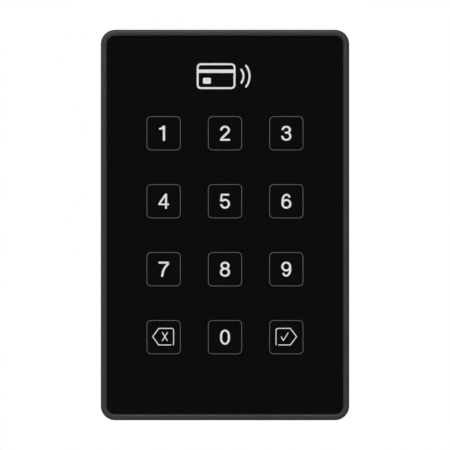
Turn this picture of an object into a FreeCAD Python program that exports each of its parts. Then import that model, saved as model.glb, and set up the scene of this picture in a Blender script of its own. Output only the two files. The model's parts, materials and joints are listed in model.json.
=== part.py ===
"""Wall-mounted keypad access reader with flush touch keys, in millimetres.

Origin: the middle of the face that lies on the wall. +Z is up, +X is right as seen from
the front, and the front looks along -Y. Depths are given as heights off the wall, so a
height u lies at Y = -u.
"""
import FreeCAD, Part
import os
from math import cos, hypot, radians, sin

V = FreeCAD.Vector

# ---- overall size ----
WIDTH = 80.8
HEIGHT = 127.0
DEPTH = 19.5
CORNER_R = 4.65

# ---- bezel ----
WALL = 2.0
FRONT_ROUND = 0.8
RIM_ROUND = 0.6
FOOT_EDGE = 0.3
SKIRT_FOOT = 1.0
TILT_RELIEF = 1.8
SHELF_U = (15.2, 16.7)
SHELF_HALF = (35.3, 58.4)
SHELF_R = 10.0
BOSS_R = 3.2
BOSS_BORE_TOP = 14.4

# ---- front panel and its legends ----
PANEL_W = 76.5
PANEL_H = 122.7
PANEL_R = 2.5
PANEL_U = (17.0, 19.0)
PANEL_GAP = 0.1
INLAY_U = (18.6, 19.03)
KEY_PITCH_X = 19.95
KEY_PITCH_Z = 22.1
KEYPAD_Z = -3.32
KEY_SIZE = 10.86
KEY_R = 1.35
KEY_LINE = 0.15
SYMBOL_Z = 48.4

# ---- lettering, before it is placed on its key ----
DIGIT_TOP = 2.45
SIDE_STROKE = 0.70
TOP_STROKE = 0.61
ICON_LINE = 0.27
ICON_TOP = 2.84
ICON_FOOT = -2.53
ICON_CORNER_R = 0.65
MARK_LINE = 0.27

# ---- card symbol ----
CARD_W = 12.6
CARD_H = 8.4
CARD_R = 1.4
CARD_X = -2.9
CARD_LINE = 0.62
WAVE_R = (3.6, 5.6)
WAVE_LINE = 0.62
WAVE_ANGLE = 40

# ---- layers between the wall and the panel ----
GASKET_U = (0.0, 1.0)
PLATE_U = (1.0, 3.4)
TRAY_FLOOR_U = (6.6, 8.4)
TRAY_RIM_U = 11.4
SEAL_GROOVE_U = (9.2, 10.6)
MAIN_BOARD_U = (9.4, 11.0)
FERRITE_U = (11.0, 11.3)
FORMER_U = (11.3, 13.7)
TOUCH_BOARD_U = (13.7, 14.9)
ELECTRODE_U = (14.9, 15.0)
BAFFLE_U = (14.9, 16.7)
FILM_U = (16.7, 17.0)

# ---- outlines of the inner pieces ----
CAVITY_HALF = (WIDTH / 2 - WALL, HEIGHT / 2 - WALL)
CAVITY_R = CORNER_R - WALL
TRAY_GAP = 0.2
TRAY_WALL = 1.8
PLATE_HALF = (38.0, 60.6)
PLATE_R = 2.3
BOARD_W = 66.0
BOARD_H = 104.0
BOARD_R = 2.0
FILM_SIZE = (56.0, 82.4)
FILM_R = 2.5
BAFFLE_WALL = 1.4
BAFFLE_CELL = 12.4
BAFFLE_CELL_R = 1.6
ELECTRODE_SIZE = 11.2
ELECTRODE_R = 1.2
ELECTRODE_BAND = 3.2
LED_BASE = (1.6, 0.8, 0.25)
LED_LENS = (1.1, 0.8, 0.6)
GASKET_SIZE = (72.0, 110.0)
GASKET_R = 3.0

# ---- antenna coil and its former ----
FORMER_W = 65.0
FORMER_H = 103.0
FORMER_R = 4.0
FORMER_BAND = 5.0
FORMER_GROOVE_U = (11.8, 13.3)
FORMER_GROOVE_DEPTH = 1.0
FORMER_EAR_R = 2.8
COIL_TURNS = (2, 4)
COIL_WIRE = 0.3
COIL_STEP_U = 0.36
COIL_STEP_IN = 0.35

# ---- parts on the main board: places, and sizes across before the height of the top ----
PROCESSOR_AT = (4.0, 8.0)
PROCESSOR_SIZE = (9.0, 1.2)
PROCESSOR_LEADS = 11
RADIO_CHIP_AT = (12.0, 31.0)
RADIO_CHIP_SIZE = (6.0, 0.9)
RADIO_CHIP_LEADS = 8
CHIP_STANDOFF = 0.1
LEAD_LENGTH = 1.1
LEAD_THICK = 0.2
LEAD_OUT = 0.35
LEAD_MARGIN = 1.0
CRYSTAL_AT = (12.0, 24.0)
CRYSTAL_FLANGE = (5.0, 3.2, 0.4)
CRYSTAL_CAN = (4.6, 2.8, 1.1)
CAPACITOR_X = (-20.0, -13.5, -7.0, -0.5)
CAPACITOR_Z = -30.0
CAPACITOR_BASE = (5.2, 0.6)
CAPACITOR_CAN = (2.4, 2.4)
INDUCTOR_AT = (14.0, -30.0)
INDUCTOR_BASE = (6.6, 1.0)
INDUCTOR_BODY = (2.9, 2.3)
RESISTORS_FROM = (-22.0, 24.0)
RESISTOR_STEP = (3.4, 2.6)
RESISTOR_SIZE = (1.6, 0.8, 0.5)
BUZZER_AT = (-14.0, -12.0)
BUZZER_SIZE = (6.0, 2.3)
SOUND_HOLE = (0.9, 1.6)
CONNECTOR_Z = 41.0
CONNECTOR_SIZE = (18.0, 4.0)
SOCKET_SLOT = (16.0, 2.0, 0.8)
SOCKET_RISE = 1.6
HEADER_TONGUE = (15.6, 1.6, 0.7)

# ---- fasteners ----
HOUSING_SCREW_AT = (32.6, 55.7)
HOUSING_SCREW_R = 1.25
HOUSING_HEAD_R = 2.4
HOUSING_SCREW_U = (4.8, 14.0)
BOARD_SCREW_AT = (29.5, 48.0)
BOARD_SCREW_R = 1.0
BOARD_HEAD_R = 1.9
BOARD_SCREW_U = (16.1, 7.6)
BOARD_POST_R = 2.5
SCREW_FIT = 0.05
SCREW_CLEAR = 0.15
RECESS_DEPTH = 0.8
RECESS_W = 0.5

# ---- tilting hooks at the top of the wall plate ----
PIVOT_Z = 58.6
PIVOT_U = 2.4
PIVOT_R = 1.0
HOOK_BORE_R = 1.3
HOOK_R = 2.3
HOOK_X = 20.0
HOOK_W = 8.0
HOOK_BACK = 1.0
HOOK_FRONT = 0.7
HOOK_ROOT_Z = 55.0
ARM_W = 2.4
ARM_R = 1.2
ARM_GAP = 0.4
PIN_FIT = 0.02

# ---- jack-out lock screw at the bottom ----
LOCK_U = 3.9
LOCK_R = 1.25
LOCK_TIP_Z = -60.8
LOCK_LENGTH = 4.8
LOCK_HOLE_R = 1.6
LOCK_SOCKET_R = 0.75
INSERT_R = 1.8
INSERT_LENGTH = 5.0
INSERT_FOOT_Z = -60.2
TAB_HALF = 5.0
TAB_U = 6.2
TAB_TOP_Z = -54.0
TAB_EDGE = 0.8

# ---- wall fixings and cable window ----
BOX_SPACING_Z = 83.3
BOX_SPACING_X = 60.0
SLOT_W = 4.4
SLOT_LENGTH = 9.0
PLUG_SCREW_AT = (26.0, 44.0)
PLUG_HOLE_R = 2.1
WINDOW_W = 42.0
WINDOW_H = 28.0
WINDOW_R = 3.0
PAD_BAND = 1.6
PAD_U = 3.8
WINDOW_RIM = 1.5
WINDOW_RIM_U = 4.6
PLATE_RIB_U = 4.2
PLATE_RIB_X = 12.0
PLATE_RIB_W = 1.2
PLATE_RIB_END_Z = 50.0
PLATE_EDGE = 0.5
ARROW_HALF = 2.4
ARROW_Z = (22.0, 27.0)

# ---- terminal block ----
WAYS = 8
WAY_PITCH = 4.5
BLOCK_Z = (-11.5, -4.5)
BLOCK_U = (1.4, 9.4)
CAGE_U = (5.05, 7.95)
CAGE_Z = (-10.9, -7.5)
SCREW_Z = -9.2
BLOCK_EDGE = 0.25
WELL_R = 1.5
ENTRY_HALF = 1.4
ENTRY_TOP_Z = -7.0
MOUTH_BAND = 0.4
SEAM_W = 0.3
SEAM_DEPTH = 0.2
CAGE_HALF = 1.25
CAGE_WALL = 0.4
CLAMP_HEAD = (1.3, 2.4, 3.8)
CLAMP_SHANK = (0.8, 6.4)
CLAMP_SLOT = (0.4, 0.6)

# ---- raised details on the back of the tray ----
TRAY_RIB_U = 6.0
TRAY_RIB_W = 1.0
TRAY_BORDER = (64.0, 101.0)
TRAY_RIB_Z = (-38.0, -20.0, 17.0)
TRAY_RIB_X = 12.0
TRAY_WINDOW = (38.0, 9.0)
COLLAR_U = 5.4
COLLAR_R = (2.8, 3.7)
LABEL_AT = (0.0, 32.0)
LABEL_SIZE = (34.0, 20.0)
LABEL_DEPTH = 0.3

# ---- tamper switch ----
TAMPER_X = -24.0
TAMPER_Z = -30.0
TAMPER_HOLE_R = 2.8
SWITCH_SIZE = 6.4
SWITCH_U = (5.0, 9.4)
SWITCH_BORE_TOP = 9.0
PLUNGER_R = 1.5
PLUNGER_TOP = 7.0
NOSE_ROUND = 0.7
SPRING_WIRE_R = 0.18
SPRING_R = 1.1
SPRING_TURNS = 4


# ---------------------------------------------------------------- basic solids

def prism(face, u0, u1):
    """A flat outline, drawn at Y = 0, made solid from height u0 to u1."""
    return face.translated(V(0, -u0, 0)).extrude(V(0, u0 - u1, 0))


def outline(w, h, r, x=0, z=0):
    """Rounded rectangle of width w and height h."""
    a = w / 2
    b = h / 2
    if r <= 0:
        corners = [(-a, -b), (a, -b), (a, b), (-a, b), (-a, -b)]
        return Part.Face(Part.makePolygon([V(x + i, 0, z + j) for i, j in corners]))
    edges = []
    signs = [(1, 1), (-1, 1), (-1, -1), (1, -1)]
    for n, (sx, sz) in enumerate(signs):
        centre = V(x + sx * (a - r), 0, z + sz * (b - r))
        arc = [centre + V(r * cos(t), 0, r * sin(t)) for t in (radians(90 * n + s) for s in (0, 45, 90))]
        edges.append(Part.Arc(*arc).toShape())
        nx, nz = signs[(n + 1) % 4]
        start = V(x + nx * (a - r), 0, z + nz * (b - r))
        turn = radians(90 * n + 90)
        follow = start + V(r * cos(turn), 0, r * sin(turn))
        edges.append(Part.LineSegment(arc[2], follow).toShape())
    return Part.Face(Part.Wire(edges))


def slab(w, h, r, u0, u1, x=0, z=0):
    return prism(outline(w, h, r, x, z), u0, u1)


def ring(w, h, r, thick, u0, u1, x=0, z=0):
    """Frame of constant width around a rounded rectangle of outer size w by h."""
    hole = slab(w - 2 * thick, h - 2 * thick, max(r - thick, 0.05), u0 - 1, u1 + 1, x, z)
    return slab(w, h, r, u0, u1, x, z).cut(hole)


def rod(x, z, r, u0, u1):
    """Round bar standing off the wall."""
    return Part.makeCylinder(r, u1 - u0, V(x, -u0, z), V(0, -1, 0))


def box(x0, x1, u0, u1, z0, z1):
    return Part.makeBox(x1 - x0, u1 - u0, z1 - z0, V(x0, -u1, z0))


def at_corners(spot):
    """The four mirror places of a point."""
    return [(sx * spot[0], sz * spot[1]) for sx in (-1, 1) for sz in (-1, 1)]


def fuse(shapes):
    first, *rest = shapes
    return first.multiFuse(rest).removeSplitter() if rest else first


def edges_where(shape, test):
    return [e for e in shape.Edges if test(e.BoundBox)]


# ---------------------------------------------------------------- lettering strokes

def oval_edge(x, z, rx, rz, a0, a1):
    """Part of an upright oval, from angle a0 to a1, counted from +X towards +Z."""
    centre = V(x, 0, z)
    if rz > rx:
        oval = Part.Ellipse(centre + V(0, 0, rz), centre - V(rx, 0, 0), centre)
        turn = 90
    else:
        oval = Part.Ellipse(centre + V(rx, 0, 0), centre + V(0, 0, rz), centre)
        turn = 0
    return Part.ArcOfEllipse(oval, radians(a0 - turn), radians(a1 - turn)).toShape()


def bow(x, z, rx, rz, a0, a1, side=SIDE_STROKE, top=TOP_STROKE):
    """Curved stroke along an oval. side and top are its widths there; its ends are square."""
    outer = oval_edge(x, z, rx + side / 2, rz + top / 2, a0, a1)
    inner = oval_edge(x, z, rx - side / 2, rz - top / 2, a0, a1)
    ends = [
        Part.LineSegment(outer.valueAt(p), inner.valueAt(q)).toShape()
        for p, q in ((outer.FirstParameter, inner.FirstParameter), (outer.LastParameter, inner.LastParameter))
    ]
    return Part.Face(Part.Wire(Part.__sortEdges__([outer, ends[1], inner, ends[0]])))


def bar(x0, z0, x1, z1, width):
    """Straight stroke with square ends."""
    length = hypot(x1 - x0, z1 - z0)
    nx = (z0 - z1) / length * width / 2
    nz = (x1 - x0) / length * width / 2
    points = [(x0 + nx, z0 + nz), (x1 + nx, z1 + nz), (x1 - nx, z1 - nz), (x0 - nx, z0 - nz)]
    points.append(points[0])
    return Part.Face(Part.makePolygon([V(x, 0, z) for x, z in points]))


def dot(x, z, width):
    """Round end or joint of a stroke."""
    return Part.Face(Part.Wire(Part.makeCircle(width / 2, V(x, 0, z), V(0, -1, 0))))


def line(points, width):
    """Bent line with round joints and ends."""
    strokes = [bar(*a, *b, width) for a, b in zip(points, points[1:])]
    return strokes + [dot(x, z, width) for x, z in points]


def digit_0():
    ends = [bow(0, 0.45, 1.265, 1.7, 0, 180), bow(0, -0.45, 1.265, 1.7, 180, 360)]
    sides = [bar(x, -0.46, x, 0.46, SIDE_STROKE) for x in (-1.265, 1.265)]
    return ends + sides


def digit_1():
    flag = Part.Wire([
        Part.Arc(V(-1.5, 0, 1.70), V(-0.78, 0, 1.90), V(-0.22, 0, DIGIT_TOP)).toShape(),
        Part.makePolygon([V(-0.22, 0, DIGIT_TOP), V(0.3, 0, DIGIT_TOP), V(0.3, 0, 1.20),
                          V(-1.5, 0, 1.20), V(-1.5, 0, 1.70)]),
    ])
    return [bar(0.11, -DIGIT_TOP, 0.11, DIGIT_TOP, 0.74), Part.Face(flag)]


def digit_2():
    bowl = bow(0.02, 1.05, 1.22, 1.08, -48, 186)
    return [bowl, bar(0.90, 0.31, -1.22, -1.86, 0.68), bar(-1.60, -2.13, 1.64, -2.13, 0.62)]


def digit_3():
    upper = bow(-0.02, 1.165, 1.14, 0.965, -88, 188)
    lower = bow(0, -0.965, 1.3, 1.165, -186, 88)
    return [upper, lower, bar(-0.5, 0.2, 0.1, 0.2, 0.56)]


def digit_4():
    slope = bar(-1.45, -0.9, 0.62, 2.15, 0.6)
    return [bar(0.77, -DIGIT_TOP, 0.77, DIGIT_TOP, 0.65), bar(-1.70, -1.0, 1.70, -1.0, 0.55), slope]


def digit_5():
    bowl = bow(0.02, -0.82, 1.26, 1.3, -174, 142)
    return [bar(-1.2, 2.13, 1.36, 2.13, TOP_STROKE), bar(-1.04, 2.3, -1.3, -0.06, 0.61), bowl]


def digit_6():
    bowl = [bow(0.03, -0.86, 1.26, 1.27, a, a + 180) for a in (0, 180)]
    return bowl + [bow(0.05, 0.0, 1.28, 2.13, 36, 200)]


def digit_7():
    return [bar(-1.67, 2.13, 1.67, 2.13, 0.62), bow(4.4, -DIGIT_TOP, 4.85, 5.2, 125, 180)]


def digit_8():
    upper = [bow(0, 1.15, 1.13, 0.98, a, a + 180) for a in (0, 180)]
    lower = [bow(0, -0.98, 1.3, 1.15, a, a + 180) for a in (0, 180)]
    return upper + lower


def digit_9():
    """A six turned upside down."""
    return [stroke.rotated(V(0, 0, 0), V(0, 1, 0), 180) for stroke in digit_6()]


def clear_icon():
    """Tag pointing left with a cross in it."""
    r = ICON_CORNER_R
    corner = bow(3.24 - r, ICON_TOP - r, r, r - 0.001, 0, 90, ICON_LINE, ICON_LINE)
    tag = [(2.4, ICON_FOOT), (-1.6, ICON_FOOT), (-3.56, 0.16), (-1.6, ICON_TOP), (3.24 - r, ICON_TOP)]
    tag = line(tag, ICON_LINE)
    side = line([(3.24, ICON_TOP - r), (3.24, -2.1), (3.16, -2.52)], ICON_LINE)
    cross = line([(-0.4, 1.5), (1.2, -1.15)], MARK_LINE) + line([(1.2, 1.5), (-0.4, -1.15)], MARK_LINE)
    return tag + [corner] + side + cross


def enter_icon():
    """Tag pointing right with a tick in it."""
    r = ICON_CORNER_R
    corner = bow(-3.36 + r, ICON_TOP - r, r, r - 0.001, 90, 180, ICON_LINE, ICON_LINE)
    tag = [(-2.55, ICON_FOOT), (1.34, ICON_FOOT), (3.30, 0.16), (1.34, ICON_TOP), (-3.36 + r, ICON_TOP)]
    tag = line(tag, ICON_LINE)
    side = line([(-3.36, ICON_TOP - r), (-3.36, -2.1), (-3.28, -2.52)], ICON_LINE)
    tick = line([(-1.6, 0.1), (-0.96, -1.08), (0.56, 1.42)], ICON_LINE)
    return tag + [corner] + side + tick


def card_symbol():
    """Outlined card with a stripe and two arcs beside it, which shows where to present a card."""
    inner = (CARD_W - 2 * CARD_LINE, CARD_H - 2 * CARD_LINE, CARD_R - CARD_LINE)
    card = outline(CARD_W, CARD_H, CARD_R, CARD_X).cut(outline(*inner, CARD_X))
    reach = CARD_W / 2 - CARD_LINE / 2
    stripe = bar(CARD_X - reach, 1.6, CARD_X + reach, 1.6, 1.1)
    patch = outline(2.6, 1.9, 0.4, CARD_X - 3.0, -1.5)
    centre = CARD_X + CARD_W / 2 - 1.0
    waves = [bow(centre, 0, r, r - 0.001, -WAVE_ANGLE, WAVE_ANGLE, WAVE_LINE, WAVE_LINE) for r in WAVE_R]
    return [card, stripe, patch] + waves


KEYS = {
    "1": (-1, 3, digit_1), "2": (0, 3, digit_2), "3": (1, 3, digit_3),
    "4": (-1, 1, digit_4), "5": (0, 1, digit_5), "6": (1, 1, digit_6),
    "7": (-1, -1, digit_7), "8": (0, -1, digit_8), "9": (1, -1, digit_9),
    "clear": (-1, -3, clear_icon), "0": (0, -3, digit_0), "enter": (1, -3, enter_icon),
}


def key_place(name):
    column, half_row, _ = KEYS[name]
    return column * KEY_PITCH_X, KEYPAD_Z + half_row * KEY_PITCH_Z / 2


def inlay(strokes, x, z):
    """Light-coloured lettering that fills a shallow pocket in the panel."""
    solids = [prism(stroke.translated(V(x, 0, z)), *INLAY_U) for stroke in strokes]
    return fuse(solids)


# ---------------------------------------------------------------- front casing

def bezel():
    """Moulded frame with a skirt to the wall, a shelf for the panel and four screw bosses."""
    w = PANEL_W + 2 * PANEL_GAP
    h = PANEL_H + 2 * PANEL_GAP
    body = slab(WIDTH, HEIGHT, CORNER_R, SKIRT_FOOT, DEPTH)
    body = body.makeFillet(FRONT_ROUND, edges_where(body, lambda b: b.YMax < 0.001 - DEPTH))
    body = body.makeChamfer(FOOT_EDGE, edges_where(body, lambda b: b.YMin > -0.001 - SKIRT_FOOT))
    body = body.cut(slab(w, h, PANEL_R + PANEL_GAP, SHELF_U[1], DEPTH + 1))
    rim = edges_where(body, lambda b: b.YMax < 0.001 - DEPTH and max(b.XMax, -b.XMin) < w / 2 + 0.01
                      and max(b.ZMax, -b.ZMin) < h / 2 + 0.01)
    body = body.makeFillet(RIM_ROUND, rim)
    cavity = slab(2 * CAVITY_HALF[0], 2 * CAVITY_HALF[1], CAVITY_R, SKIRT_FOOT - 1, SHELF_U[0])
    window = slab(2 * SHELF_HALF[0], 2 * SHELF_HALF[1], SHELF_R, SHELF_U[0] - 1, SHELF_U[1] + 1)
    body = body.cut(cavity).cut(window)
    bosses = [rod(x, z, BOSS_R, TRAY_FLOOR_U[1], SHELF_U[1]) for x, z in at_corners(HOUSING_SCREW_AT)]
    body = fuse([body] + bosses)
    for x, z in at_corners(HOUSING_SCREW_AT):
        body = body.cut(rod(x, z, HOUSING_SCREW_R + SCREW_FIT, TRAY_FLOOR_U[1] - 1, BOSS_BORE_TOP))
    top = HEIGHT / 2
    relief = Part.Face(Part.makePolygon([
        V(-WIDTH, -SKIRT_FOOT, top - TILT_RELIEF), V(-WIDTH, -SKIRT_FOOT - TILT_RELIEF, top),
        V(-WIDTH, 0, top + 1), V(-WIDTH, 0, top - TILT_RELIEF), V(-WIDTH, -SKIRT_FOOT, top - TILT_RELIEF),
    ])).extrude(V(2 * WIDTH, 0, 0))
    lock_hole = Part.makeCylinder(LOCK_HOLE_R, 6, V(0, -LOCK_U, -top - 1), V(0, 0, 1))
    return body.cut(relief).cut(lock_hole)


def fascia_panel(pockets):
    """Glossy front panel, with a pocket for each piece of lettering."""
    return slab(PANEL_W, PANEL_H, PANEL_R, *PANEL_U).cut(Part.makeCompound(pockets))


def fascia_adhesive():
    """Tape frame that bonds the panel to the bezel's shelf."""
    hole = slab(2 * SHELF_HALF[0] + 0.4, 2 * SHELF_HALF[1] + 0.4, SHELF_R, FILM_U[0] - 1, FILM_U[1] + 1)
    return slab(PANEL_W - 0.2, PANEL_H - 0.2, PANEL_R, *FILM_U).cut(hole)


def key_outlines():
    """Thin squares with round corners around the twelve touch keys."""
    frames = []
    for name in KEYS:
        x, z = key_place(name)
        size = KEY_SIZE + KEY_LINE
        frames.append(ring(size, size, KEY_R + KEY_LINE / 2, KEY_LINE, *INLAY_U, x, z))
    return Part.makeCompound(frames)


def light_baffle():
    """Opaque grid that keeps each key's light to itself."""
    cell = (BAFFLE_CELL, BAFFLE_CELL, BAFFLE_CELL_R)
    w = 2 * KEY_PITCH_X + BAFFLE_CELL + 2 * BAFFLE_WALL
    h = 3 * KEY_PITCH_Z + BAFFLE_CELL + 2 * BAFFLE_WALL
    cells = [slab(*cell, BAFFLE_U[0] - 1, BAFFLE_U[1] + 1, *key_place(k)) for k in KEYS]
    return slab(w, h, FILM_R, *BAFFLE_U, 0, KEYPAD_Z).cut(Part.makeCompound(cells))


# ---------------------------------------------------------------- touch sensor and reader coil

def board(u0, u1):
    """Circuit board with its four screw holes."""
    plate = slab(BOARD_W, BOARD_H, BOARD_R, u0, u1)
    holes = [rod(x, z, BOARD_SCREW_R + SCREW_CLEAR, u0 - 1, u1 + 1) for x, z in at_corners(BOARD_SCREW_AT)]
    return plate.cut(Part.makeCompound(holes))


def touch_electrodes():
    """Copper pad behind each key, with a clear middle for its light."""
    pad = (ELECTRODE_SIZE, ELECTRODE_SIZE, ELECTRODE_R, ELECTRODE_BAND)
    return Part.makeCompound([ring(*pad, *ELECTRODE_U, *key_place(k)) for k in KEYS])


def stepped(base, top, x, z):
    """Two blocks on one another, each given as its width, height and the level of its top."""
    (w0, h0, u1), (w1, h1, u2) = (base, top)
    return [slab(w0, h0, 0, 0, u1, x, z), slab(w1, h1, 0, u1, u2, x, z)]


def backlight_leds():
    """Small light with a clear top behind each key."""
    leds = [fuse(stepped(LED_BASE, LED_LENS, *key_place(name))) for name in KEYS]
    return Part.makeCompound(leds).translated(V(0, -TOUCH_BOARD_U[1], 0))


def coil_former():
    """Plastic frame between the boards, grooved around its edge for the antenna coil."""
    u0, u1 = FORMER_U
    frame = ring(FORMER_W, FORMER_H, FORMER_R, FORMER_BAND, u0, u1)
    frame = fuse([frame] + [rod(x, z, FORMER_EAR_R, u0, u1) for x, z in at_corners(BOARD_SCREW_AT)])
    groove = ring(FORMER_W + 2, FORMER_H + 2, FORMER_R + 1, 1 + FORMER_GROOVE_DEPTH, *FORMER_GROOVE_U)
    holes = [rod(x, z, BOARD_SCREW_R + SCREW_CLEAR, u0 - 1, u1 + 1) for x, z in at_corners(BOARD_SCREW_AT)]
    return frame.cut(groove).cut(Part.makeCompound(holes))


def antenna_coil():
    """Eight turns of wire in the former's groove, four high and two deep."""
    turns = []
    for layer in range(COIL_TURNS[1]):
        for depth in range(COIL_TURNS[0]):
            shrink = 0.4 + 2 * COIL_STEP_IN * depth
            size = (FORMER_W - shrink, FORMER_H - shrink, FORMER_R - shrink / 2)
            u0 = FORMER_GROOVE_U[0] + 0.06 + COIL_STEP_U * layer
            turns.append(ring(*size, COIL_WIRE, u0, u0 + COIL_WIRE))
    return Part.makeCompound(turns)


def ferrite_sheet():
    """Thin magnetic sheet in four strips, between the coil and the main board."""
    sheet = ring(FORMER_W, FORMER_H, FORMER_R, FORMER_BAND, *FERRITE_U)
    cut_r = FORMER_EAR_R + 0.1
    holes = [rod(x, z, cut_r, FERRITE_U[0] - 1, FERRITE_U[1] + 1) for x, z in at_corners(BOARD_SCREW_AT)]
    return sheet.cut(Part.makeCompound(holes))


# ---------------------------------------------------------------- main board

def chip(x, z, size, height, leads):
    """Flat square package with leads on all four sides."""
    u0 = MAIN_BOARD_U[1]
    parts = [slab(size, size, 0.3, u0 + CHIP_STANDOFF, u0 + height, x, z)]
    row = size - 2 * LEAD_MARGIN
    pitch = row / (leads - 1)
    for n in range(leads):
        along = n * pitch - row / 2
        for side in (-1, 1):
            off = side * (size / 2 + LEAD_OUT)
            parts.append(slab(LEAD_LENGTH, pitch / 2, 0, u0, u0 + LEAD_THICK, x + off, z + along))
            parts.append(slab(pitch / 2, LEAD_LENGTH, 0, u0, u0 + LEAD_THICK, x + along, z + off))
    return fuse(parts)


def crystal():
    """Low metal can with a flange."""
    u0 = MAIN_BOARD_U[1]
    w, h, top = CRYSTAL_FLANGE
    flange = slab(w, h, 0.4, u0, u0 + top, *CRYSTAL_AT)
    w, h, crown = CRYSTAL_CAN
    return fuse([flange, slab(w, h, 0.9, u0 + top, u0 + crown, *CRYSTAL_AT)])


def based_can(x, z, base, can):
    """Round can on a square base: the base's width and top, and the can's radius and top."""
    u0 = MAIN_BOARD_U[1]
    width, base_top = base
    radius, can_top = can
    foot = slab(width, width, 0.6, u0, u0 + base_top, x, z)
    return fuse([foot, rod(x, z, radius, u0 + base_top, u0 + can_top)])


def capacitors():
    """Four low cans, each on its square base."""
    return Part.makeCompound([based_can(x, CAPACITOR_Z, CAPACITOR_BASE, CAPACITOR_CAN) for x in CAPACITOR_X])


def inductor():
    """Round coil body on a square base."""
    return based_can(*INDUCTOR_AT, INDUCTOR_BASE, INDUCTOR_BODY)


def chip_resistors():
    """Sixteen small chips in rows of four."""
    u0 = MAIN_BOARD_U[1]
    x0, z0 = RESISTORS_FROM
    dx, dz = RESISTOR_STEP
    w, h, top = RESISTOR_SIZE
    spots = [(x0 + dx * column, z0 - dz * row) for column in range(4) for row in range(4)]
    return Part.makeCompound([slab(w, h, 0, u0, u0 + top, x, z) for x, z in spots])


def buzzer():
    """Flat round sounder with a sound hole."""
    u0 = MAIN_BOARD_U[1]
    radius, top = BUZZER_SIZE
    hole_r, hole_foot = SOUND_HOLE
    return rod(*BUZZER_AT, radius, u0, u0 + top).cut(rod(*BUZZER_AT, hole_r, u0 + hole_foot, u0 + top + 1))


def board_socket():
    """Long socket on the main board that takes the touch board's header."""
    u0 = MAIN_BOARD_U[1]
    w, h, foot = SOCKET_SLOT
    slot = slab(w, h, 0.2, u0 + foot, u0 + SOCKET_RISE + 1, 0, CONNECTOR_Z)
    return slab(*CONNECTOR_SIZE, 0.3, u0, u0 + SOCKET_RISE, 0, CONNECTOR_Z).cut(slot)


def board_header():
    """Plug under the touch board, with a tongue in the socket."""
    u0 = MAIN_BOARD_U[1] + SOCKET_RISE
    w, h, reach = HEADER_TONGUE
    tongue = slab(w, h, 0.1, u0 - reach, u0, 0, CONNECTOR_Z)
    return fuse([slab(*CONNECTOR_SIZE, 0.3, u0, TOUCH_BOARD_U[0], 0, CONNECTOR_Z), tongue])


# ---------------------------------------------------------------- tamper switch

def tamper_switch():
    """Switch body under the main board, open towards the wall for its plunger."""
    body = slab(SWITCH_SIZE, SWITCH_SIZE, 0.5, *SWITCH_U, TAMPER_X, TAMPER_Z)
    return body.cut(rod(TAMPER_X, TAMPER_Z, PLUNGER_R + 0.3, SWITCH_U[0] - 1, SWITCH_BORE_TOP))


def tamper_plunger():
    """Round-nosed pin that the wall holds pressed in."""
    pin = rod(TAMPER_X, TAMPER_Z, PLUNGER_R, 0, PLUNGER_TOP)
    return pin.makeFillet(NOSE_ROUND, edges_where(pin, lambda b: b.YMin > -0.001))


def tamper_spring():
    """Coil spring of four turns between the plunger and the top of the switch body."""
    wire = SPRING_WIRE_R
    height = SWITCH_BORE_TOP - PLUNGER_TOP - 2 * wire - 0.04
    helix = Part.makeHelix(height / SPRING_TURNS, height, SPRING_R)
    start = helix.Edges[0].valueAt(helix.Edges[0].FirstParameter)
    along = helix.Edges[0].tangentAt(helix.Edges[0].FirstParameter)
    section = Part.Wire(Part.makeCircle(wire, start, along))
    coil = helix.makePipeShell([section], True, True)
    coil.rotate(V(0, 0, 0), V(1, 0, 0), 90)
    coil.translate(V(TAMPER_X, -PLUNGER_TOP - wire - 0.02, TAMPER_Z))
    return coil


# ---------------------------------------------------------------- terminal block

def way_places():
    """X of each way's middle."""
    return [(n - (WAYS - 1) / 2) * WAY_PITCH for n in range(WAYS)]


def terminal_block():
    """Eight-way block on the back of the main board. Wires enter from below."""
    half = WAYS * WAY_PITCH / 2
    body = box(-half, half, *BLOCK_U, *BLOCK_Z)
    body = body.makeChamfer(BLOCK_EDGE, edges_where(body, lambda b: b.YMin > -0.001 - BLOCK_U[0]))
    low, high = CAGE_U
    foot = BLOCK_Z[0]
    ways = []
    for x in way_places():
        well = rod(x, SCREW_Z, WELL_R, BLOCK_U[0] - 1, low + 0.5)
        entry = box(x - ENTRY_HALF, x + ENTRY_HALF, low - 0.05, high + 0.05, foot - 1, ENTRY_TOP_Z)
        reach = ENTRY_HALF + MOUTH_BAND
        mouth = box(x - reach, x + reach, low - MOUTH_BAND, high + MOUTH_BAND, foot - 1, foot + MOUTH_BAND)
        ways.append(fuse([well, entry, mouth]))
    seam_u = (BLOCK_U[0] - 1, BLOCK_U[0] + SEAM_DEPTH)
    seams = [box(x - SEAM_W / 2, x + SEAM_W / 2, *seam_u, foot - 1, BLOCK_Z[1] + 1)
             for x in (n * WAY_PITCH - half for n in range(1, WAYS))]
    return body.cut(Part.makeCompound(ways)).cut(Part.makeCompound(seams))


def terminal_clamps():
    """Metal cage in each way, with a hole for its screw."""
    cages = []
    inner = CAGE_HALF - CAGE_WALL
    inner_u = (CAGE_U[0] + CAGE_WALL + 0.1, CAGE_U[1] - CAGE_WALL)
    for x in way_places():
        cage = box(x - CAGE_HALF, x + CAGE_HALF, *CAGE_U, *CAGE_Z)
        cage = cage.cut(box(x - inner, x + inner, *inner_u, CAGE_Z[0] - 1, CAGE_Z[1] + 1))
        cages.append(cage.cut(rod(x, SCREW_Z, CLAMP_SHANK[0] + SCREW_FIT, CAGE_U[0] - 1, CAGE_U[0] + 1)))
    return Part.makeCompound(cages)


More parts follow.
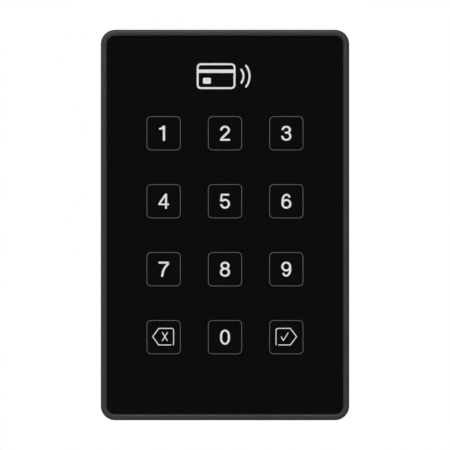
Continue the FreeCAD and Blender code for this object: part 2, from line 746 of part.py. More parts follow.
def terminal_screws():
    """Slotted screw in each way, stored wound out."""
    screws = []
    head_r, crown_u, seat_u = CLAMP_HEAD
    shank_r, tip_u = CLAMP_SHANK
    slot_w, slot_depth = CLAMP_SLOT
    slot_z = (SCREW_Z - slot_w / 2, SCREW_Z + slot_w / 2)
    for x in way_places():
        screw = fuse([rod(x, SCREW_Z, head_r, crown_u, seat_u), rod(x, SCREW_Z, shank_r, seat_u, tip_u)])
        screws.append(screw.cut(box(x - 2, x + 2, crown_u - 1, crown_u + slot_depth, *slot_z)))
    return Part.makeCompound(screws)


# ---------------------------------------------------------------- rear housing

def arm_spans():
    """X ranges of the four arms that hold the pivot pins."""
    inner = HOOK_W / 2 + ARM_GAP
    spans = []
    for middle in (-HOOK_X, HOOK_X):
        spans.append((middle - inner - ARM_W, middle - inner))
        spans.append((middle + inner, middle + inner + ARM_W))
    return spans


def tray_details():
    """Raised ribs and screw collars on the back of the tray."""
    floor = TRAY_FLOOR_U[0]
    span_u = (TRAY_RIB_U, floor + 0.5)
    half_w, half_h = (TRAY_BORDER[0] / 2, TRAY_BORDER[1] / 2)
    parts = [ring(*TRAY_BORDER, 3.0, TRAY_RIB_W, *span_u)]
    for z in TRAY_RIB_Z:
        parts.append(box(-half_w + 0.5, half_w - 0.5, *span_u, z - TRAY_RIB_W / 2, z + TRAY_RIB_W / 2))
    for x in (-TRAY_RIB_X, TRAY_RIB_X):
        parts.append(box(x - TRAY_RIB_W / 2, x + TRAY_RIB_W / 2, *span_u, -half_h + 0.5, TRAY_RIB_Z[1]))
    for x, z in at_corners(HOUSING_SCREW_AT):
        collar = rod(x, z, COLLAR_R[1], COLLAR_U, floor + 0.5)
        parts.append(collar.cut(rod(x, z, COLLAR_R[0], COLLAR_U - 1, floor)))
    return parts


def rear_housing():
    """Tray that closes the bezel from behind and carries the boards and the pivot arms."""
    floor0, floor1 = TRAY_FLOOR_U
    w = 2 * (CAVITY_HALF[0] - TRAY_GAP)
    h = 2 * (CAVITY_HALF[1] - TRAY_GAP)
    r = CAVITY_R - TRAY_GAP
    shell = slab(w, h, r, floor0, TRAY_RIM_U)
    shell = shell.makeFillet(0.6, edges_where(shell, lambda b: b.YMin > -0.001 - floor0))
    inner = slab(w - 2 * TRAY_WALL, h - 2 * TRAY_WALL, 0.7, floor1, TRAY_RIM_U + 1)
    parts = [shell.cut(inner)] + tray_details()
    parts += [rod(x, z, BOARD_POST_R, floor1, MAIN_BOARD_U[0]) for x, z in at_corners(BOARD_SCREW_AT)]
    for x0, x1 in arm_spans():
        parts.append(box(x0, x1, PIVOT_U, floor0 + 0.5, PIVOT_Z - ARM_R, PIVOT_Z + ARM_R))
        parts.append(Part.makeCylinder(ARM_R, x1 - x0, V(x0, -PIVOT_U, PIVOT_Z), V(1, 0, 0)))
    tray = fuse(parts)
    cuts = [ring(w + 4, h + 4, r + 2, 3.0, *SEAL_GROOVE_U)]
    cuts.append(slab(*TRAY_WINDOW, 1.0, floor0 - 1, floor1 + 1, 0, sum(BLOCK_Z) / 2))
    cuts.append(slab(SWITCH_SIZE + 1, SWITCH_SIZE + 1, 0.8, floor0 - 1, floor1 + 1, TAMPER_X, TAMPER_Z))
    cuts.append(slab(*LABEL_SIZE, 1.0, floor0 - 1, floor0 + LABEL_DEPTH, *LABEL_AT))
    for x, z in at_corners(HOUSING_SCREW_AT):
        cuts.append(rod(x, z, HOUSING_SCREW_R + SCREW_CLEAR, floor0 - 1, floor1 + 1))
    for x, z in at_corners(BOARD_SCREW_AT):
        cuts.append(rod(x, z, BOARD_SCREW_R + SCREW_FIT, floor0 + 0.8, MAIN_BOARD_U[0] + 1))
    for sign in (-1, 1):
        start = V(sign * HOOK_X - 10, -PIVOT_U, PIVOT_Z)
        cuts.append(Part.makeCylinder(PIVOT_R + PIN_FIT, 20, start, V(1, 0, 0)))
    return tray.cut(Part.makeCompound(cuts))


def pivot_pins():
    """Steel pins that rest in the wall plate's hooks."""
    length = HOOK_W + 2 * (ARM_GAP + ARM_W) - 0.2
    starts = [sign * HOOK_X - length / 2 for sign in (-1, 1)]
    return Part.makeCompound([
        Part.makeCylinder(PIVOT_R, length, V(x, -PIVOT_U, PIVOT_Z), V(1, 0, 0)) for x in starts
    ])


def housing_seal():
    """Rubber ring in the tray's groove, against the inside of the bezel."""
    gap = 0.05
    w = 2 * (CAVITY_HALF[0] - gap)
    h = 2 * (CAVITY_HALF[1] - gap)
    return ring(w, h, CAVITY_R - gap, 1.1, SEAL_GROOVE_U[0] + 0.05, SEAL_GROOVE_U[1] - 0.05)


def pan_screw(x, z, r, head_r, crown_u, seat_u, tip_u):
    """Cross-recessed screw with its head from crown_u to seat_u and its tip at tip_u."""
    head = rod(x, z, head_r, *sorted((crown_u, seat_u)))
    crown = edges_where(head, lambda b: abs(b.YMin + crown_u) < 0.001 and abs(b.YMax + crown_u) < 0.001)
    head = head.makeFillet(0.3 * abs(seat_u - crown_u), crown)
    screw = fuse([head, rod(x, z, r, *sorted((seat_u, tip_u)))])
    inward = 1 if seat_u > crown_u else -1
    recess_u = sorted((crown_u - inward, crown_u + inward * RECESS_DEPTH))
    reach = 1.2 * head_r
    cross = [slab(w, h, 0, *recess_u, x, z) for w, h in ((reach, RECESS_W), (RECESS_W, reach))]
    return screw.cut(fuse(cross))


def housing_screws():
    """Four screws from the tray into the bezel's bosses."""
    crown_u, tip_u = HOUSING_SCREW_U
    return Part.makeCompound([
        pan_screw(x, z, HOUSING_SCREW_R, HOUSING_HEAD_R, crown_u, TRAY_FLOOR_U[0], tip_u)
        for x, z in at_corners(HOUSING_SCREW_AT)
    ])


def board_screws():
    """Four screws through both boards into the tray's posts."""
    crown_u, tip_u = BOARD_SCREW_U
    return Part.makeCompound([
        pan_screw(x, z, BOARD_SCREW_R, BOARD_HEAD_R, crown_u, TOUCH_BOARD_U[1], tip_u)
        for x, z in at_corners(BOARD_SCREW_AT)
    ])


# ---------------------------------------------------------------- wall plate

def hook(x):
    """Upward-opening seat for a pivot pin."""
    x0 = x - HOOK_W / 2
    cup = Part.makeCylinder(HOOK_R, HOOK_W, V(x0, -PIVOT_U, PIVOT_Z), V(1, 0, 0))
    cup = cup.cut(box(x0 - 1, x0 + HOOK_W + 1, -2, 8, PIVOT_Z, PIVOT_Z + 4))
    back = box(x0, x0 + HOOK_W, PIVOT_U - HOOK_R, PIVOT_U - HOOK_BORE_R, PIVOT_Z, PIVOT_Z + HOOK_BACK)
    front = box(x0, x0 + HOOK_W, PIVOT_U + HOOK_BORE_R, PIVOT_U + HOOK_R, PIVOT_Z, PIVOT_Z + HOOK_FRONT)
    root = box(x0, x0 + HOOK_W, *PLATE_U, HOOK_ROOT_Z, PIVOT_Z - HOOK_BORE_R - 0.1)
    bore = Part.makeCylinder(HOOK_BORE_R, HOOK_W + 2, V(x0 - 1, -PIVOT_U, PIVOT_Z), V(1, 0, 0))
    return fuse([cup, back, front, root]).cut(bore)


def slot_spots():
    """Place and size of the four fixing slots: width, height, x, z."""
    spots = []
    for sign in (-1, 1):
        spots.append((SLOT_W, SLOT_LENGTH, 0, sign * BOX_SPACING_Z / 2))
        spots.append((SLOT_LENGTH, SLOT_W, sign * BOX_SPACING_X / 2, 0))
    return spots


def grown_slots(extra, u0, u1):
    """Round-ended solids around the fixing slots, wider than them by extra on every side."""
    radius = SLOT_W / 2 + extra - 0.001
    return [slab(w + 2 * extra, h + 2 * extra, radius, u0, u1, x, z) for w, h, x, z in slot_spots()]


def plate_details():
    """Pads around the screw holes, ribs, and an arrow that points up."""
    u0, u1 = (PLATE_U[1] - 0.5, PAD_U)
    parts = grown_slots(PAD_BAND, u0, u1)
    parts += [rod(x, z, PLUG_HOLE_R + PAD_BAND, u0, u1) for x, z in at_corners(PLUG_SCREW_AT)]
    rim = (WINDOW_W + 2 * WINDOW_RIM, WINDOW_H + 2 * WINDOW_RIM, WINDOW_R + WINDOW_RIM)
    parts.append(slab(*rim, u0, WINDOW_RIM_U))
    for x in (-PLATE_RIB_X, PLATE_RIB_X):
        for z0, z1 in ((WINDOW_H / 2 + 1, PLATE_RIB_END_Z), (-PLATE_RIB_END_Z, -WINDOW_H / 2 - 1)):
            parts.append(box(x - PLATE_RIB_W / 2, x + PLATE_RIB_W / 2, u0, PLATE_RIB_U, z0, z1))
    foot, tip = ARROW_Z
    corners = [(-ARROW_HALF, foot), (ARROW_HALF, foot), (0, tip), (-ARROW_HALF, foot)]
    parts.append(prism(Part.Face(Part.makePolygon([V(x, 0, z) for x, z in corners])), u0, u1))
    return parts


def wall_plate():
    """Plate that stays on the wall, with fixing holes, cable window, hooks and lock tab."""
    u0, u1 = PLATE_U
    plate = slab(2 * PLATE_HALF[0], 2 * PLATE_HALF[1], PLATE_R, u0, u1)
    plate = plate.makeFillet(PLATE_EDGE, edges_where(plate, lambda b: b.YMax < 0.001 - u1))
    for sign in (-1, 1):
        notch = HOOK_W / 2 + ARM_GAP + ARM_W + 0.6
        plate = plate.cut(box(sign * HOOK_X - notch, sign * HOOK_X + notch, 0, 8, PIVOT_Z - 2.0, 70))
    tab = box(-TAB_HALF, TAB_HALF, u1 - 1, TAB_U, -PLATE_HALF[1], TAB_TOP_Z)
    tab_edges = edges_where(tab, lambda b: b.YMax < 0.001 - TAB_U
                            and (b.ZMin > TAB_TOP_Z - 0.1 or b.ZMax - b.ZMin > 1))
    tab = tab.makeFillet(TAB_EDGE, tab_edges)
    plate = fuse([plate, tab, hook(-HOOK_X), hook(HOOK_X)] + plate_details())
    cuts = [slab(WINDOW_W, WINDOW_H, WINDOW_R, u0 - 1, u1 + 4)] + grown_slots(0, u0 - 1, u1 + 2)
    cuts += [rod(x, z, PLUG_HOLE_R, u0 - 1, u1 + 2) for x, z in at_corners(PLUG_SCREW_AT)]
    cuts.append(rod(TAMPER_X, TAMPER_Z, TAMPER_HOLE_R, u0 - 1, u1 + 1))
    bore_length = INSERT_LENGTH + 1.0
    bore_foot = V(0, -LOCK_U, INSERT_FOOT_Z - 0.8)
    cuts.append(Part.makeCylinder(INSERT_R + 0.02, bore_length, bore_foot, V(0, 0, 1)))
    return plate.cut(Part.makeCompound(cuts))


def lock_insert():
    """Threaded brass sleeve in the plate's bottom tab."""
    foot = V(0, -LOCK_U, INSERT_FOOT_Z)
    sleeve = Part.makeCylinder(INSERT_R, INSERT_LENGTH, foot, V(0, 0, 1))
    bore = Part.makeCylinder(LOCK_R + SCREW_FIT, INSERT_LENGTH + 2, foot - V(0, 0, 1), V(0, 0, 1))
    return sleeve.cut(bore)


def lock_screw():
    """Headless screw with a hexagon socket, wound out to lock the reader shut."""
    screw = Part.makeCylinder(LOCK_R, LOCK_LENGTH, V(0, -LOCK_U, LOCK_TIP_Z), V(0, 0, 1))
    screw = screw.makeChamfer(0.25, edges_where(screw, lambda b: b.ZMax - b.ZMin < 0.001))
    angles = [radians(60 * n) for n in range(7)]
    hexagon = Part.makePolygon([V(LOCK_SOCKET_R * cos(a), LOCK_SOCKET_R * sin(a), 0) for a in angles])
    socket = Part.Face(hexagon).extrude(V(0, 0, 2.2))
    return screw.cut(socket.translated(V(0, -LOCK_U, LOCK_TIP_Z - 0.4)))


def wall_gasket():
    """Foam sheet between the plate and the wall, cut away at every opening."""
    u0, u1 = GASKET_U
    sheet = slab(*GASKET_SIZE, GASKET_R, u0, u1)
    cuts = [slab(WINDOW_W + 1, WINDOW_H + 1, WINDOW_R + 0.5, u0 - 1, u1 + 1)]
    cuts += grown_slots(0.8, u0 - 1, u1 + 1)
    cuts.append(rod(TAMPER_X, TAMPER_Z, TAMPER_HOLE_R + 0.6, u0 - 1, u1 + 1))
    cuts += [rod(x, z, PLUG_HOLE_R + 0.8, u0 - 1, u1 + 1) for x, z in at_corners(PLUG_SCREW_AT)]
    return sheet.cut(Part.makeCompound(cuts))


# ---------------------------------------------------------------- all pieces

def build():
    """Every piece of the reader under its own name."""
    pieces = {}
    for name, (_, _, glyph) in KEYS.items():
        pieces[f"key_{name}_legend"] = inlay(glyph(), *key_place(name))
    pieces["key_outlines"] = key_outlines()
    pieces["card_symbol"] = inlay(card_symbol(), 0, SYMBOL_Z)
    pieces["fascia_panel"] = fascia_panel(list(pieces.values()))
    pieces["bezel"] = bezel()
    pieces["fascia_adhesive"] = fascia_adhesive()
    pieces["diffuser_film"] = slab(*FILM_SIZE, FILM_R, *FILM_U, 0, KEYPAD_Z)
    pieces["light_baffle"] = light_baffle()
    pieces["touch_board"] = board(*TOUCH_BOARD_U)
    pieces["touch_electrodes"] = touch_electrodes()
    pieces["backlight_leds"] = backlight_leds()
    pieces["coil_former"] = coil_former()
    pieces["antenna_coil"] = antenna_coil()
    pieces["ferrite_sheet"] = ferrite_sheet()
    pieces["main_board"] = board(*MAIN_BOARD_U)
    pieces["processor_chip"] = chip(*PROCESSOR_AT, *PROCESSOR_SIZE, PROCESSOR_LEADS)
    pieces["radio_chip"] = chip(*RADIO_CHIP_AT, *RADIO_CHIP_SIZE, RADIO_CHIP_LEADS)
    pieces["crystal"] = crystal()
    pieces["capacitors"] = capacitors()
    pieces["inductor"] = inductor()
    pieces["chip_resistors"] = chip_resistors()
    pieces["buzzer"] = buzzer()
    pieces["board_socket"] = board_socket()
    pieces["board_header"] = board_header()
    pieces["tamper_switch"] = tamper_switch()
    pieces["tamper_plunger"] = tamper_plunger()
    pieces["tamper_spring"] = tamper_spring()
    pieces["terminal_block"] = terminal_block()
    pieces["terminal_clamps"] = terminal_clamps()
    pieces["terminal_screws"] = terminal_screws()
    pieces["rear_housing"] = rear_housing()
    pieces["pivot_pins"] = pivot_pins()
    pieces["housing_seal"] = housing_seal()
    pieces["housing_screws"] = housing_screws()
    pieces["board_screws"] = board_screws()
    pieces["wall_plate"] = wall_plate()
    pieces["lock_insert"] = lock_insert()
    pieces["lock_screw"] = lock_screw()
    pieces["wall_gasket"] = wall_gasket()
    return pieces


os.makedirs("parts", exist_ok=True)
for node, shape in build().items():
    shape.exportStep(f"parts/{node}.step")
    print(f"{node}: {len(shape.Solids)} solid(s), {shape.Volume:.2f} mm3, valid {shape.isValid()}")
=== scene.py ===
"""Looks of the wall-mounted keypad access reader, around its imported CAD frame. Units are metres.

The reader faces -Y, +Z is up, and the wall is at Y = 0.
"""
import bmesh
import bpy
import json
import math
from mathutils import Matrix, Vector


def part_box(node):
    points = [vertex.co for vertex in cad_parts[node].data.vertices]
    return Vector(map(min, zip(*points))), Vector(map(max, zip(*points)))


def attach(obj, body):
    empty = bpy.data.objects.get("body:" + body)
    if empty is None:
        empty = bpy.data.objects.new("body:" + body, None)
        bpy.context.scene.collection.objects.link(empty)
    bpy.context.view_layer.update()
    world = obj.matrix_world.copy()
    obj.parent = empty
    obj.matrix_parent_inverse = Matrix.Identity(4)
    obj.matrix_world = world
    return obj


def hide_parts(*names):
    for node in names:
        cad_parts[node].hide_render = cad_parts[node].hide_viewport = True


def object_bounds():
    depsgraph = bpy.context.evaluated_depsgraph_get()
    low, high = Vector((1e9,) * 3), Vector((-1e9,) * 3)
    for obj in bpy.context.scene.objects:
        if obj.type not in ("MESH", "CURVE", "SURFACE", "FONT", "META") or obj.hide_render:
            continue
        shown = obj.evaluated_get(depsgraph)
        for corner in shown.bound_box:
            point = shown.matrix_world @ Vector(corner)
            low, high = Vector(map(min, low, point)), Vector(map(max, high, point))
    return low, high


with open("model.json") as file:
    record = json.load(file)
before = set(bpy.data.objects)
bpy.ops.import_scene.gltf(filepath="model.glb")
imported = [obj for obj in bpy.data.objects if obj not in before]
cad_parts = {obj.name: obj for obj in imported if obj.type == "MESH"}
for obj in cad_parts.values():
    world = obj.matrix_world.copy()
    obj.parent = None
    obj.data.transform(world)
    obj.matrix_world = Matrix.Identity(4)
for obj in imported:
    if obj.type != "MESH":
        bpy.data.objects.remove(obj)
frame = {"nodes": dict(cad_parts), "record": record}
cad_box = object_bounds()

# ---- framing ----
PICTURE_PIXELS = 450
MM_PER_PIXEL = 0.3252
CAMERA_DISTANCE = 3.0
FRONT_ROUND = 0.0008
SENSOR = 0.036

# ---- foam gasket: edge rounding, corner radius, and its holes as width, height, radius, x, z ----
GASKET_EDGE = 0.00022
ARC_STEPS = 8
GASKET_R = 0.003
GASKET_HOLES = [(0.043, 0.029, 0.0035, 0, 0), (0.0068, 0.0068, 0.0034, -0.024, -0.030)]
GASKET_HOLES += [(0.006, 0.0106, 0.003, 0, z) for z in (-0.04165, 0.04165)]
GASKET_HOLES += [(0.0106, 0.006, 0.003, x, 0) for x in (-0.030, 0.030)]
GASKET_HOLES += [(0.0058, 0.0058, 0.0029, x, z) for x in (-0.026, 0.026) for z in (-0.044, 0.044)]

# ---- stage and lights: each softbox as place, size and power ----
FLOOR_DROP = 0.0215
FLOOR_RADIUS = 0.42
FLOOR_CLEAR = 0.20
SOFTBOXES = {
    "key": ((0.25, -0.50, 0.85), (0.6, 0.6), 2.0),
    "front": ((-0.20, -0.95, 0.55), (0.9, 0.5), 9.0),
    "side_left": ((-1.1, 0.1, 0.2), (0.7, 0.9), 3.0),
    "side_right": ((1.1, 0.1, 0.2), (0.7, 0.9), 2.0),
    "back": ((-0.2, 0.9, 0.6), (0.9, 0.7), 5.0),
}
SURROUND_RAMP = (("From Min", -0.98), ("From Max", -0.80), ("To Min", 0.02), ("To Max", 0.06))


# ------------------------------------------------------------------ node helpers

class Shader:
    """A material under construction: its node tree, its surface shader and a few short cuts."""

    def __init__(self, name, **constants):
        self.material = bpy.data.materials.new(name)
        self.material.use_nodes = True
        self.tree = self.material.node_tree
        self.bsdf = self.tree.nodes["Principled BSDF"]
        self.coords = self.tree.nodes.new("ShaderNodeTexCoord").outputs["Object"]
        for socket, value in constants.items():
            self.bsdf.inputs[socket.replace("_", " ")].default_value = value

    def node(self, kind, inputs=None, **settings):
        """New node, with each input linked to a socket or set to a value."""
        made = self.tree.nodes.new(kind)
        for key, value in settings.items():
            setattr(made, key, value)
        for key, value in (inputs or {}).items():
            if isinstance(value, bpy.types.NodeSocket):
                self.tree.links.new(value, made.inputs[key])
            else:
                made.inputs[key].default_value = value
        return made

    def stretched(self, scale):
        """Object coordinates scaled along X, Y and Z."""
        return self.node("ShaderNodeMapping", {"Vector": self.coords, "Scale": scale}).outputs["Vector"]

    def noise(self, scale, detail=3.0, roughness=0.55, coords=None):
        """Cloudy factor, with scale in features per metre."""
        inputs = {"Vector": coords or self.coords, "Scale": scale, "Detail": detail, "Roughness": roughness}
        return self.node("ShaderNodeTexNoise", inputs).outputs["Fac"]

    def cells(self, scale):
        """Distance from the middle of the nearest foam cell."""
        return self.node("ShaderNodeTexVoronoi", {"Vector": self.coords, "Scale": scale}).outputs["Distance"]

    def span(self, value, low, high, start=0.3, end=0.7):
        """Maps a factor between start and end to the range low to high."""
        inputs = {"Value": value, "From Min": start, "From Max": end, "To Min": low, "To Max": high}
        return self.node("ShaderNodeMapRange", inputs).outputs["Result"]

    def mix(self, factor, first, second):
        """Colour between first and second."""
        made = self.node("ShaderNodeMix", data_type="RGBA")
        for key, value in ((0, factor), (6, first), (7, second)):
            if isinstance(value, bpy.types.NodeSocket):
                self.tree.links.new(value, made.inputs[key])
            else:
                made.inputs[key].default_value = value
        return made.outputs[2]

    def bump(self, height, depth, below=None):
        """Surface normal from a height, depth metres deep, on top of an earlier bump."""
        inputs = {"Height": height, "Distance": depth, "Strength": 1.0}
        if below is not None:
            inputs["Normal"] = below
        return self.node("ShaderNodeBump", inputs).outputs["Normal"]

    def set(self, socket, value):
        """Links a node's output to a socket of the surface shader."""
        self.tree.links.new(value, self.bsdf.inputs[socket])

    def tint(self, factor, colour, swing):
        """Base colour that varies by plus and minus swing around colour."""
        dark = [c * (1 - swing) for c in colour] + [1]
        light = [c * (1 + swing) for c in colour] + [1]
        self.set("Base Color", self.mix(factor, dark, light))


# ------------------------------------------------------------------ materials

def moulded_plastic(name, colour, grain=0.00022, depth=0.000009, roughness=0.5, swing=0.07):
    """Matt moulded plastic with a fine spark-eroded grain."""
    s = Shader(name, IOR=1.5)
    fine = s.noise(1 / grain, 2.0)
    broad = s.noise(160, 4.0)
    s.tint(s.span(fine, 0, 1), colour, swing)
    s.set("Roughness", s.span(broad, roughness - 0.05, roughness + 0.05))
    s.set("Normal", s.bump(fine, depth))
    return s.material


def gloss_panel():
    """Glossy black window: a clear front over a black print, with a trace of surface ripple."""
    s = Shader("panel_gloss", IOR=1.49)
    ripple = s.noise(90, 1.0)
    dust = s.noise(2600, 2.0)
    s.tint(s.span(dust, 0, 1), (0.0037, 0.0037, 0.0037), 0.08)
    s.set("Roughness", s.span(ripple, 0.055, 0.075))
    s.set("Normal", s.bump(ripple, 0.0000006))
    return s.material


def printed_ink(name, colour, roughness=0.42):
    """Screen-printed ink with a slightly uneven film."""
    s = Shader(name, IOR=1.45)
    film = s.noise(3200, 3.0)
    s.tint(s.span(film, 0, 1), colour, 0.025)
    s.set("Roughness", s.span(film, roughness - 0.06, roughness + 0.06))
    s.set("Normal", s.bump(film, 0.000003))
    return s.material


def smooth_plastic(name, colour, roughness=0.3, cloud=0.06):
    """Plain moulding with faint flow marks."""
    s = Shader(name, IOR=1.5)
    flow = s.noise(420, 4.0, coords=s.stretched((1, 1, 0.35)))
    s.tint(s.span(flow, 0, 1), colour, cloud)
    s.set("Roughness", s.span(flow, roughness - 0.05, roughness + 0.07))
    s.set("Normal", s.bump(flow, 0.000006))
    return s.material


def foam(name, colour):
    """Closed-cell foam: cut cells of two sizes, with painted shade at their bottoms, and a dull skin."""
    s = Shader(name, IOR=1.4, Roughness=0.85)
    coarse = s.cells(1300)
    fine = s.cells(3100)
    cells = s.node("ShaderNodeMath", {0: coarse, 1: fine}, operation="MULTIPLY").outputs[0]
    # painted shade: the base colour darkens towards each cell's middle, where the bottom of a pore would lie
    # in shade
    s.tint(s.span(cells, 0, 1, 0.02, 0.35), colour, 0.45)
    s.set("Normal", s.bump(fine, 0.00006, below=s.bump(coarse, 0.00012)))
    return s.material


def silicone(name, colour):
    """Dull rubber with a slightly uneven skin."""
    s = Shader(name, IOR=1.41)
    skin = s.noise(1500, 3.0)
    s.tint(s.span(skin, 0, 1), colour, 0.10)
    s.set("Roughness", s.span(skin, 0.5, 0.66))
    s.set("Normal", s.bump(skin, 0.000008))
    return s.material


def metal(name, colour, roughness=0.28, lines=(1, 1, 14), depth=0.0000025):
    """Bare metal with drawn or turned marks along one way."""
    s = Shader(name, Metallic=1.0)
    marks = s.noise(2600, 4.0, 0.65, s.stretched(lines))
    stain = s.noise(520, 3.0)
    s.tint(s.span(stain, 0, 1), colour, 0.10)
    s.set("Roughness", s.span(marks, roughness - 0.07, roughness + 0.10))
    s.set("Normal", s.bump(marks, depth))
    return s.material


def circuit_board():
    """Green solder mask over copper tracks, which show as lighter raised lines."""
    s = Shader("board_laminate", IOR=1.52, Roughness=0.28)
    flat = s.stretched((1, 0, 1))
    brick = s.node("ShaderNodeTexBrick", {"Vector": flat, "Scale": 210.0, "Mortar Size": 0.035,
                                          "Mortar Smooth": 0.2, "Brick Width": 0.9, "Row Height": 0.23})
    turned = s.node("ShaderNodeMapping", {"Vector": flat, "Rotation": (0, math.pi / 2, 0)}).outputs["Vector"]
    across = s.node("ShaderNodeTexBrick", {"Vector": turned, "Scale": 120.0, "Mortar Size": 0.03,
                                           "Mortar Smooth": 0.2, "Brick Width": 1.3, "Row Height": 0.3})
    both = {0: brick.outputs["Fac"], 1: across.outputs["Fac"]}
    tracks = s.node("ShaderNodeMath", both, operation="MAXIMUM")
    weave = s.noise(1500, 2.0)
    mask = s.mix(s.span(weave, 0, 1), (0.006, 0.060, 0.022, 1), (0.009, 0.080, 0.030, 1))
    s.set("Base Color", s.mix(tracks.outputs[0], mask, (0.030, 0.170, 0.070, 1)))
    s.set("Normal", s.bump(tracks.outputs[0], 0.00002))
    return s.material


MATERIALS = {
    "bezel_plastic": lambda: moulded_plastic("bezel_plastic", (0.0150, 0.0150, 0.0154), 0.00035),
    "panel_gloss": gloss_panel,
    "legend_ink": lambda: printed_ink("legend_ink", (0.79, 0.79, 0.79)),
    "outline_ink": lambda: printed_ink("outline_ink", (0.14, 0.14, 0.14)),
    "housing_plastic": lambda: moulded_plastic("housing_plastic", (0.030, 0.030, 0.032), 0.0004, 0.000014),
    "plate_plastic": lambda: moulded_plastic("plate_plastic", (0.038, 0.038, 0.040), 0.0004, 0.000016, 0.55),
    "inner_plastic": lambda: smooth_plastic("inner_plastic", (0.022, 0.022, 0.023), 0.38),
    "baffle_plastic": lambda: smooth_plastic("baffle_plastic", (0.74, 0.74, 0.71), 0.45),
    "diffuser_film": lambda: smooth_plastic("diffuser_film", (0.80, 0.80, 0.80), 0.5, 0.02),
    "plunger_plastic": lambda: smooth_plastic("plunger_plastic", (0.72, 0.71, 0.66), 0.25),
    "terminal_plastic": lambda: smooth_plastic("terminal_plastic", (0.018, 0.150, 0.060), 0.33),
    "chip_epoxy": lambda: smooth_plastic("chip_epoxy", (0.016, 0.016, 0.018), 0.5),
    "chip_ceramic": lambda: smooth_plastic("chip_ceramic", (0.05, 0.05, 0.055), 0.25),
    "led_resin": lambda: smooth_plastic("led_resin", (0.85, 0.80, 0.55), 0.2),
    "ferrite": lambda: smooth_plastic("ferrite", (0.045, 0.042, 0.042), 0.6),
    "tape_foam": lambda: foam("tape_foam", (0.018, 0.018, 0.018)),
    "gasket_foam": lambda: foam("gasket_foam", (0.040, 0.040, 0.042)),
    "seal_rubber": lambda: silicone("seal_rubber", (0.028, 0.028, 0.030)),
    "stainless_steel": lambda: metal("stainless_steel", (0.60, 0.59, 0.57)),
    "plated_steel": lambda: metal("plated_steel", (0.66, 0.66, 0.63), 0.33),
    "spring_steel": lambda: metal("spring_steel", (0.52, 0.52, 0.53), 0.25),
    "can_steel": lambda: metal("can_steel", (0.62, 0.62, 0.62), 0.3),
    "can_aluminium": lambda: metal("can_aluminium", (0.78, 0.78, 0.79), 0.35),
    "copper": lambda: metal("copper", (0.86, 0.46, 0.30), 0.3),
    "insert_brass": lambda: metal("insert_brass", (0.80, 0.60, 0.28), 0.3),
    "board_laminate": circuit_board,
}


def dress_cad_nodes():
    """Gives every carried-over CAD node the material of its slot."""
    made = {slot: build() for slot, build in MATERIALS.items()}
    for row in frame["record"]["subparts"]:
        mesh = frame["nodes"][row["node"]].data
        mesh.materials.clear()
        mesh.materials.append(made[row["material_slot"]])
    return made


# ------------------------------------------------------------------ soft part

def rounded_loop(curve, w, h, r, x, z):
    """Closed outline of a rounded rectangle in the curve's plane."""
    points = []
    for quarter, (sx, sz) in enumerate(((1, 1), (-1, 1), (-1, -1), (1, -1))):
        for step in range(ARC_STEPS + 1):
            turn = math.radians(90 * quarter + 90 * step / ARC_STEPS)
            points.append((x + sx * (w / 2 - r) + r * math.cos(turn),
                           z + sz * (h / 2 - r) + r * math.sin(turn)))
    spline = curve.splines.new("POLY")
    spline.points.add(len(points) - 1)
    for point, (px, pz) in zip(spline.points, points):
        point.co = (px, pz, 0, 1)
    spline.use_cyclic_u = True


def foam_gasket(material):
    """Die-cut foam sheet with soft rounded edges, in place of the plain CAD sheet."""
    low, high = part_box("wall_gasket")
    curve = bpy.data.curves.new("gasket_outline", "CURVE")
    curve.dimensions = "2D"
    curve.fill_mode = "BOTH"
    curve.extrude = (high.y - low.y) / 2 - GASKET_EDGE
    curve.bevel_depth = GASKET_EDGE
    curve.bevel_resolution = 3
    curve.offset = -GASKET_EDGE
    rounded_loop(curve, high.x - low.x, high.z - low.z, GASKET_R, 0, 0)
    for hole in GASKET_HOLES:
        rounded_loop(curve, *hole)
    drawn = bpy.data.objects.new("gasket_outline", curve)
    bpy.context.scene.collection.objects.link(drawn)
    bpy.context.view_layer.update()
    mesh = bpy.data.meshes.new_from_object(drawn.evaluated_get(bpy.context.evaluated_depsgraph_get()))
    bpy.data.objects.remove(drawn)
    mesh.transform(Matrix.Translation((0, (low.y + high.y) / 2, 0)) @ Matrix.Rotation(math.pi / 2, 4, "X"))
    joined = bmesh.new()
    joined.from_mesh(mesh)
    bmesh.ops.remove_doubles(joined, verts=joined.verts, dist=0.000005)
    bmesh.ops.dissolve_degenerate(joined, edges=joined.edges, dist=0.000002)
    bmesh.ops.recalc_face_normals(joined, faces=joined.faces)
    joined.to_mesh(mesh)
    joined.free()
    mesh.shade_smooth()
    mesh.materials.clear()
    mesh.materials.append(material)
    gasket = bpy.data.objects.new("foam_gasket", mesh)
    bpy.context.scene.collection.objects.link(gasket)
    gasket.modifiers.new("even_shading", "WEIGHTED_NORMAL")
    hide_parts("wall_gasket")
    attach(gasket, "wall_bracket")


# ------------------------------------------------------------------ stage, light and camera

def pale_floor():
    """Round pale floor under the reader that fades out before its edge."""
    low = cad_box[0]
    bpy.ops.mesh.primitive_circle_add(vertices=96, radius=FLOOR_RADIUS, fill_type="NGON",
                                      location=(0, 0, low.z - FLOOR_DROP))
    floor = bpy.context.object
    floor.name = "floor"
    s = Shader("pale_floor", Roughness=0.7)
    s.bsdf.inputs["Base Color"].default_value = (0.80, 0.80, 0.79, 1)
    reach = s.node("ShaderNodeVectorMath", {0: s.coords}, operation="LENGTH").outputs["Value"]
    fade = s.span(reach, 0, 1, FLOOR_CLEAR, FLOOR_RADIUS - 0.01)
    under = s.node("ShaderNodeNewGeometry").outputs["Backfacing"]
    hidden = s.node("ShaderNodeMath", {0: fade, 1: under}, operation="MAXIMUM").outputs[0]
    clear = s.node("ShaderNodeBsdfTransparent").outputs[0]
    blend = s.node("ShaderNodeMixShader", {0: hidden, 1: s.bsdf.outputs[0], 2: clear})
    s.tree.links.new(blend.outputs[0], s.tree.nodes["Material Output"].inputs["Surface"])
    floor.data.materials.append(s.material)


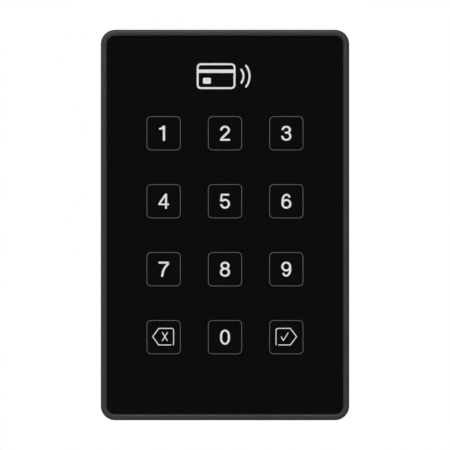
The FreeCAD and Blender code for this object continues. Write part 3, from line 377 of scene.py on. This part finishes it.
def softbox(name, place, size, power):
    """Rectangular area light that faces the reader and that the camera does not see."""
    light = bpy.data.lights.new(name, "AREA")
    light.shape = "RECTANGLE"
    light.size, light.size_y = size
    light.energy = power
    lamp = bpy.data.objects.new(name, light)
    lamp.location = place
    lamp.rotation_euler = (-Vector(place)).to_track_quat("-Z", "Y").to_euler()
    lamp.visible_camera = False
    bpy.context.scene.collection.objects.link(lamp)


def studio_light():
    """Soft lights around the reader, and a white surround that only the camera sees."""
    for name, (place, size, power) in SOFTBOXES.items():
        softbox(name, place, size, power)
    world = bpy.data.worlds.new("surround")
    world.use_nodes = True
    tree = world.node_tree
    tree.nodes.clear()
    coords = tree.nodes.new("ShaderNodeTexCoord")
    split = tree.nodes.new("ShaderNodeSeparateXYZ")
    tree.links.new(coords.outputs["Generated"], split.inputs[0])
    ramp = tree.nodes.new("ShaderNodeMapRange")
    tree.links.new(split.outputs["Y"], ramp.inputs["Value"])
    for key, value in SURROUND_RAMP:
        ramp.inputs[key].default_value = value
    dim = tree.nodes.new("ShaderNodeBackground")
    dim.inputs["Color"].default_value = (1, 1, 1, 1)
    tree.links.new(ramp.outputs["Result"], dim.inputs["Strength"])
    white = tree.nodes.new("ShaderNodeBackground")
    white.inputs["Color"].default_value = (1, 1, 1, 1)
    seen = tree.nodes.new("ShaderNodeLightPath")
    blend = tree.nodes.new("ShaderNodeMixShader")
    tree.links.new(seen.outputs["Is Camera Ray"], blend.inputs[0])
    tree.links.new(dim.outputs[0], blend.inputs[1])
    tree.links.new(white.outputs[0], blend.inputs[2])
    output = tree.nodes.new("ShaderNodeOutputWorld")
    tree.links.new(blend.outputs[0], output.inputs["Surface"])
    bpy.context.scene.world = world
    bpy.context.scene.view_settings.view_transform = "Standard"


def straight_camera():
    """Long lens, square on to the front, centred on the reader."""
    low, high = cad_box
    silhouette = low.y + FRONT_ROUND
    across = PICTURE_PIXELS * MM_PER_PIXEL / 1000
    data = bpy.data.cameras.new("camera")
    data.sensor_width = SENSOR * 1000
    data.lens = SENSOR * 1000 * (CAMERA_DISTANCE + silhouette) / across
    data.clip_end = 10
    camera = bpy.data.objects.new("camera", data)
    camera.location = ((low.x + high.x) / 2, -CAMERA_DISTANCE, (low.z + high.z) / 2)
    camera.rotation_euler = (math.pi / 2, 0, 0)
    bpy.context.scene.collection.objects.link(camera)
    bpy.context.scene.camera = camera


straight_camera()
materials = dress_cad_nodes()
foam_gasket(materials["gasket_foam"])
pale_floor()
studio_light()
